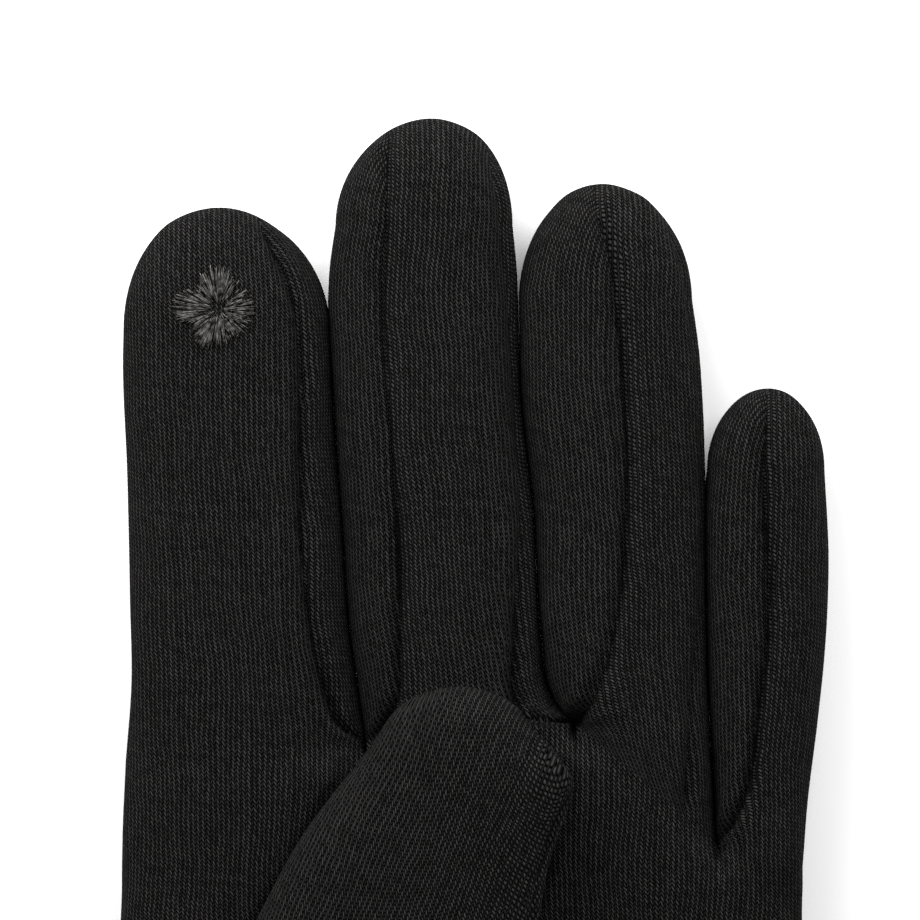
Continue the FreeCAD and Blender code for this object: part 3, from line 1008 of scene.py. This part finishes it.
thumbPieces = {"lower": [], "upper": []}
for side, face in (("palm", "outer"), ("back", "inner")):
    for level, pieces in thumbPieces.items():
        cut = outsideHole[cloth] if face == "inner" else None
        pieces.append(jerseyPiece(f"thumb_{face}_panel_{level}", [f"thumb|{side}|{level}"], cut))
for level, pieces in thumbPieces.items():
    outer, inner = (fleece.label == f"thumb|{side}|{level}" for side in ("palm", "back"))
    pieces.append(fleecePiece(f"lining_thumb_{level}", outer | (inner & outsideHole[fleece])))
for piece in thumbPieces["lower"]:
    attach(piece, "thumb_base")
at = np.array(joints["thumb_middle_bend"]["pos_m"])
toTip = np.array([-math.sin(turn), math.cos(turn), 0]) * mm * thumb["bend"]
for piece in thumbPieces["upper"]:
    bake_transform(piece)

print("turning the hem")


def ringOf(row):  # the net's points once round the hand in one row
    palmRow, backRow = (oneRow([grid[row] for grid in palmGrids[side]]) for side in ("palm", "back"))
    return np.concatenate([cloth.same[palmRow], cloth.same[backRow][::-1][1:-1]])


def runOf(points):  # distance along a line of points
    return np.concatenate([[0], np.cumsum(np.linalg.norm(np.diff(points, axis=0), axis=1))])


ring = ringOf(0)
at, way = cloth.at[ring], cloth.normal[ring].copy()
way[:, 1] = 0
way /= np.linalg.norm(way, axis=1, keepdims=True)
deep, wide, r = hem["depth"], hem["width"], hem["depth"] / 2
inside = deep + hem["thick"]
# The hem's section as depth and height: round the fold, up inside, over its cut edge and back down
profile = [(r - r * math.cos(a), -r * hem["roundness"] * math.sin(a)) for a in np.linspace(0, math.pi, 9)]
profile += [(deep, y) for y in np.linspace(1.0, wide, 24)]
profile += [(deep + 0.5, wide + 0.3), (inside, wide)]
profile += [(inside, y) for y in np.linspace(wide - 1, 1.0, 14)]
profile += [(deep + 0.3, 0.6), (deep - 0.6, 0.6), (0.7, 0.8), (0.0, 0.6)]
profile = np.array(profile)
around = runOf(at)
wave = way * (hem["wave"] * np.sin(around / hem["waveLength"]))[:, None]  # its inside isn't quite flat
rows, knits = [], []
for (depth, y), run in zip(profile, runOf(profile)):
    rows.append(at - way * depth + np.array([0, y, 0]) + (wave if y > 2 else 0))
    knits.append(np.stack([around, np.full(len(around), -run)], -1))
rows, knits = np.array(rows), np.array(knits)
index = np.arange(rows.shape[0] * rows.shape[1]).reshape(rows.shape[:2])
nextIndex = np.roll(index, -1, 1)
faces = np.stack([index[:-1], index[1:], nextIndex[1:], nextIndex[:-1]], -1).reshape(-1, 4)
knit = knits.reshape(-1, 2)[faces]
whole = around[-1] + hem["lastStep"]
knit[..., 0] += np.where(knit[..., 0] < knit[..., 0].max(1, keepdims=True) - 20, whole, 0)
piece = makeMesh("cuff_hem_fold", rows.reshape(-1, 3), faces, knit)
piece.data.materials.append(jerseyCloth)
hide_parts("cuff_hem")
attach(piece, "hand")

print("label")
label = {
    "width": 16.0,
    "length": 24.0,
    "thick": 0.3,
    "above": 0.95,
    "bow": 0.5,  # it bows up along its middle, more in waves along it, and its free end curls up
    "ripple": 5,
    "curl": 0.9,
    "columns": 13,
    "rows": 19,
}
low, high = (np.array(corner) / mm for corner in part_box("size_label"))
middle = (low + high) / 2
u, v = np.meshgrid(np.linspace(-0.5, 0.5, label["columns"]), np.linspace(-0.5, 0.5, label["rows"]))
height = low[2] + label["above"] + label["curl"] * np.clip(v, 0, 1) ** 2
height = height + label["bow"] * (0.25 - u**2) * (1 + np.sin(label["ripple"] * v))
tape = np.stack([middle[0] + label["width"] * u, middle[1] + label["length"] * v, height], -1)
faces = gridFaces(np.arange(u.size).reshape(u.shape))
tag = makeMesh("size_label_tape", tape.reshape(-1, 3), faces)
thicken = tag.modifiers.new("thick", "SOLIDIFY")
thicken.thickness = label["thick"] * mm
tag.data.materials.append(labelTape)
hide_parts("size_label")
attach(tag, "hand")

print("stitching")


def geometryTree(name, inputs):
    group = bpy.data.node_groups.new(name, "GeometryNodeTree")
    group.interface.new_socket("Geometry", in_out="INPUT", socket_type="NodeSocketGeometry")
    for label, kind in inputs:
        group.interface.new_socket(label, in_out="INPUT", socket_type=kind)
    group.interface.new_socket("Geometry", in_out="OUTPUT", socket_type="NodeSocketGeometry")
    tree = Tree(group)
    return group, tree, tree.node("NodeGroupInput").outputs, tree.node("NodeGroupOutput").inputs


def grow(thing, group, **values):
    # Runs a geometry tree on a piece and keeps its result as a plain mesh
    change = thing.modifiers.new("grow", "NODES")
    change.node_group = group
    for socket in group.interface.items_tree:
        if socket.in_out == "INPUT" and socket.name in values:
            change[socket.identifier] = values[socket.name]
    bpy.context.view_layer.update()
    result = bpy.data.meshes.new_from_object(thing.evaluated_get(bpy.context.evaluated_depsgraph_get()))
    thing.modifiers.remove(change)
    thing.data = result
    result.polygons.foreach_set("use_smooth", np.ones(len(result.polygons), bool))


def randomValue(t, low, high, seed):
    made = t.node("FunctionNodeRandomValue", data_type="FLOAT")
    for value, socket in zip((low, high, seed), (made.inputs[2], made.inputs[3], made.inputs[8])):
        t.join(value, socket)
    return made.outputs[1]


def keepStrand(t, copies, value):  # each thread's own shade, for its material
    made = t.node("GeometryNodeStoreNamedAttribute", domain="INSTANCE", data_type="FLOAT")
    t.join(copies.outputs[0], made.inputs["Geometry"])
    t.join("strand", made.inputs["Name"])
    t.join(value, made.inputs["Value"])
    return made.outputs[0]


pad = {  # satin stitches from a dark middle out to five petals
    "centre": (-35.5, 92.9),
    "thickness": 0.12,
    "arch": 0.7,
    "crest": 0.55,  # where along its length a stitch is highest
    "swing": 6.0,  # degrees by which a stitch may lie askew
    "outer": (0.93, 1.02),  # how unevenly the stitches end, as shares of their reach, and start
    "inner": (0.6, 1.4),
    "fall": 0.36,  # how much shorter a petal is at its sides
    "shade": (0.1, 1.0),
    "petals": [
        {"angle": 95, "reach": 6.2, "spread": 38},
        {"angle": 174, "reach": 6.7, "spread": 34},
        {"angle": 247, "reach": 5.8, "spread": 40},
        {"angle": 318, "reach": 5.0, "spread": 32},
        {"angle": 5, "reach": 5.1, "spread": 34},
    ],
    "layers": [
        {"threads": 34, "from": 3.7, "to": 1.0, "height": 0.1, "seed": 1},
        {"threads": 34, "from": 3.0, "to": 0.95, "height": 0.06, "seed": 5},
        {"threads": 30, "from": 2.5, "to": 0.84, "height": 0.05, "seed": 4},
        {"threads": 22, "from": 1.6, "to": 0.6, "height": 0.02, "seed": 7},
        {"threads": 8, "from": 1.0, "to": 0.4, "height": 0.0, "seed": 9},
    ],
}


def makePadTree():
    group, t, given, out = geometryTree("stitchedFlower", [
        ("Cloth", "NodeSocketObject"), ("Centre", "NodeSocketVector"), ("Thickness", "NodeSocketFloat"),
        ("Arch", "NodeSocketFloat"), ("Seed", "NodeSocketInt"), ("Thread", "NodeSocketMaterial"),
    ])
    crest = t.node("ShaderNodeCombineXYZ", X=pad["crest"], Z=given["Arch"]).outputs[0]
    bow = t.node("GeometryNodeCurveQuadraticBezier", Resolution=8, Start=(0, 0, 0), End=(1, 0, 0))
    t.join(crest, bow.inputs["Middle"])
    section = t.node("GeometryNodeCurvePrimitiveCircle", Resolution=5)
    t.join(t.math("MULTIPLY", given["Thickness"], 0.5), section.inputs["Radius"])
    strand = t.node("GeometryNodeCurveToMesh", Curve=bow.outputs[0], Profile_Curve=section.outputs[0])
    threadMesh = strand.outputs[0]
    joined = t.node("GeometryNodeJoinGeometry")
    index = t.node("GeometryNodeInputIndex").outputs[0]
    for number, petal in enumerate(pad["petals"]):
        for layer in pad["layers"]:
            count = int(layer["threads"] * petal["spread"] / 40)
            seed = t.math("ADD", given["Seed"], float(10 * number + layer["seed"]))
            points = t.node("GeometryNodePoints", Count=count)
            side = t.math("MULTIPLY_ADD", index, 2.0 / (count - 1), -1.0)
            swing = randomValue(t, -pad["swing"], pad["swing"], seed)
            turned = t.math("ADD", t.math("MULTIPLY_ADD", side, petal["spread"], petal["angle"]), swing)
            angle = t.math("RADIANS", turned)
            fall = t.math("MULTIPLY_ADD", t.math("MULTIPLY", side, side), -pad["fall"], 1.0)
            outer = t.math("MULTIPLY", fall, petal["reach"] * mm * layer["to"])
            outer = t.math("MULTIPLY", outer, randomValue(t, *pad["outer"], t.math("ADD", seed, 1.0)))
            starts = (layer["from"] * mm * share for share in pad["inner"])
            inner = randomValue(t, *starts, t.math("ADD", seed, 2.0))
            x, y = (t.math("MULTIPLY", t.math(way, angle), inner) for way in ("COSINE", "SINE"))
            spot = t.node("ShaderNodeCombineXYZ", X=x, Y=y, Z=layer["height"] * mm)
            placed = t.node("GeometryNodeSetPosition", Geometry=points.outputs[0], Position=spot.outputs[0])
            copies = t.node("GeometryNodeInstanceOnPoints", Points=placed.outputs[0], Instance=threadMesh)
            t.join(t.node("ShaderNodeCombineXYZ", Z=angle).outputs[0], copies.inputs["Rotation"])
            size = t.node("ShaderNodeCombineXYZ", X=t.math("SUBTRACT", outer, inner), Y=1.0, Z=1.0)
            t.join(size.outputs[0], copies.inputs["Scale"])
            shade = randomValue(t, *pad["shade"], t.math("ADD", seed, 3.0))
            t.join(keepStrand(t, copies, shade), joined.inputs[0])
    whole = t.node("GeometryNodeRealizeInstances", Geometry=joined.outputs[0])
    moved = t.node("GeometryNodeTransform", Geometry=whole.outputs[0], Translation=given["Centre"])
    # each point drops onto the cloth below it, and keeps its own height above it
    place = t.node("GeometryNodeInputPosition").outputs[0]
    split = t.node("ShaderNodeSeparateXYZ", Vector=place)
    above = t.node("ShaderNodeCombineXYZ", X=split.outputs[0], Y=split.outputs[1], Z=0.1)
    target = t.node("GeometryNodeObjectInfo", Object=given["Cloth"])
    found = t.node("GeometryNodeRaycast", Source_Position=above.outputs[0], Ray_Direction=(0, 0, -1))
    t.join(target.outputs["Geometry"], found.inputs["Target Geometry"])
    hit = t.node("ShaderNodeSeparateXYZ", Vector=found.outputs["Hit Position"])
    height = t.math("ADD", hit.outputs[2], split.outputs[2])
    laid = t.node("ShaderNodeCombineXYZ", X=split.outputs[0], Y=split.outputs[1], Z=height)
    settled = t.node("GeometryNodeSetPosition", Geometry=moved.outputs[0], Position=laid.outputs[0])
    finished = t.node("GeometryNodeSetMaterial", Geometry=settled.outputs[0], Material=given["Thread"])
    t.join(finished.outputs[0], out[0])
    return group


flower = makeMesh("touch_pad_stitches", np.zeros((0, 3)), np.zeros((0, 4), int))
grow(
    flower, makePadTree(), Cloth=bpy.data.objects["index_palm_upper_cloth"],
    Centre=(pad["centre"][0] * mm, pad["centre"][1] * mm, 0.0),
    Thickness=pad["thickness"] * mm, Arch=pad["arch"] * mm, Seed=11, Thread=padThread,
)
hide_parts("touch_pad")
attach(flower, "index_tip")


def makeStitchTree():
    group, t, given, out = geometryTree("rowOfStitches", [
        ("Spacing", "NodeSocketFloat"), ("Length", "NodeSocketFloat"), ("Width", "NodeSocketFloat"),
        ("Seed", "NodeSocketInt"), ("Thread", "NodeSocketMaterial"),
    ])
    line = t.node("GeometryNodeMeshToCurve", Mesh=given["Geometry"])
    dots = t.node("GeometryNodeResampleCurve", mode="LENGTH", Curve=line.outputs[0], Length=given["Spacing"])
    bead = t.node("GeometryNodeMeshUVSphere", Segments=8, Rings=6, Radius=0.5)
    thickness = t.math("MULTIPLY", given["Width"], 0.7)
    size = t.node("ShaderNodeCombineXYZ", X=given["Length"], Y=given["Width"], Z=thickness)
    stitch = t.node("GeometryNodeTransform", Geometry=bead.outputs[0], Scale=size.outputs[0])
    tangent = t.node("GeometryNodeInputTangent").outputs[0]
    outward = t.node("GeometryNodeInputNamedAttribute", data_type="FLOAT_VECTOR", Name="outward")
    first = t.node("FunctionNodeAlignRotationToVector", axis="X", Vector=tangent)
    both = t.node("FunctionNodeAlignRotationToVector", axis="Z", pivot_axis="X", Rotation=first.outputs[0])
    t.join(outward.outputs[0], both.inputs["Vector"])
    copies = t.node("GeometryNodeInstanceOnPoints", Points=dots.outputs[0], Instance=stitch.outputs[0])
    t.join(both.outputs[0], copies.inputs["Rotation"])
    shaded = keepStrand(t, copies, randomValue(t, *hemStitch["shade"], given["Seed"]))
    whole = t.node("GeometryNodeRealizeInstances", Geometry=shaded)
    finished = t.node("GeometryNodeSetMaterial", Geometry=whole.outputs[0], Material=given["Thread"])
    t.join(finished.outputs[0], out[0])
    return group


hemStitch = {
    "rows": (-101.2, -104.2),
    "column": 60,  # where the rows' heights are measured
    "spacing": 2.9,
    "length": 2.3,
    "width": 0.42,
    "shade": (0.5, 1.0),
}
stitchTree = makeStitchTree()
for number, y in enumerate(hemStitch["rows"]):
    row = int(np.argmin(np.abs(palm["palm"]["points"][:, hemStitch["column"], 1] - y)))
    index = ringOf(row)
    line = bpy.data.meshes.new("line")
    count = len(index)
    line.from_pydata(cloth.at[index] * mm, [(k, (k + 1) % count) for k in range(count)], [])
    outward = line.attributes.new("outward", "FLOAT_VECTOR", "POINT")
    outward.data.foreach_set("vector", cloth.normal[index].astype(np.float32).ravel())
    stitches = bpy.data.objects.new(f"hem_stitches_{number + 1}", line)
    bpy.context.scene.collection.objects.link(stitches)
    grow(
        stitches, stitchTree, Spacing=hemStitch["spacing"] * mm, Length=hemStitch["length"] * mm,
        Width=hemStitch["width"] * mm, Seed=number, Thread=hemThread,
    )
    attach(stitches, "hand")

cameraView = {"centre": (-1.96, 72.0), "span": 128.9, "distance": 900.0, "height": 8.0, "sensor": 36}
camera = bpy.data.cameras.new("camera")
cameraThing = bpy.data.objects.new("camera", camera)
bpy.context.scene.collection.objects.link(cameraThing)
camera.sensor_width = cameraView["sensor"]
camera.lens = cameraView["sensor"] * (cameraView["distance"] - cameraView["height"]) / cameraView["span"]
camera.clip_end = 10
cameraThing.location = Vector((*cameraView["centre"], cameraView["distance"])) * mm
bpy.context.scene.camera = cameraThing

tableHalf = 3000
corners = np.array([[-1, -1, 0], [1, -1, 0], [1, 1, 0], [-1, 1, 0]]) * tableHalf
floor = makeMesh("floor", corners, np.array([[0, 1, 2, 3]]))
paper = bpy.data.materials.new("paper")
paper.use_nodes = True
paper.node_tree.nodes["Principled BSDF"].inputs["Base Color"].default_value = (0.9, 0.9, 0.9, 1)
floor.data.materials.append(paper)

studio = {
    "sky": 0.62,
    "aim": (0.0, 0.06, 0.0),
    "lamps": [
        {"at": (-0.2, 0.33, 0.2), "power": 3.0, "size": 0.3},
        {"at": (0.2, 0.35, 0.22), "power": 2.2, "size": 0.3},
    ],
}
world = bpy.data.worlds.new("studio")
bpy.context.scene.world = world
world.use_nodes = True
world.node_tree.nodes["Background"].inputs["Color"].default_value = (1, 1, 1, 1)
world.node_tree.nodes["Background"].inputs["Strength"].default_value = studio["sky"]
for place in studio["lamps"]:
    lamp = bpy.data.lights.new("soft", "AREA")
    lamp.energy, lamp.size = place["power"], place["size"]
    lampThing = bpy.data.objects.new("soft", lamp)
    lampThing.location = place["at"]
    towards = Vector(studio["aim"]) - Vector(place["at"])
    lampThing.rotation_euler = towards.to_track_quat("-Z", "Y").to_euler()
    bpy.context.scene.collection.objects.link(lampThing)
bpy.context.scene.view_settings.view_transform = "Standard"
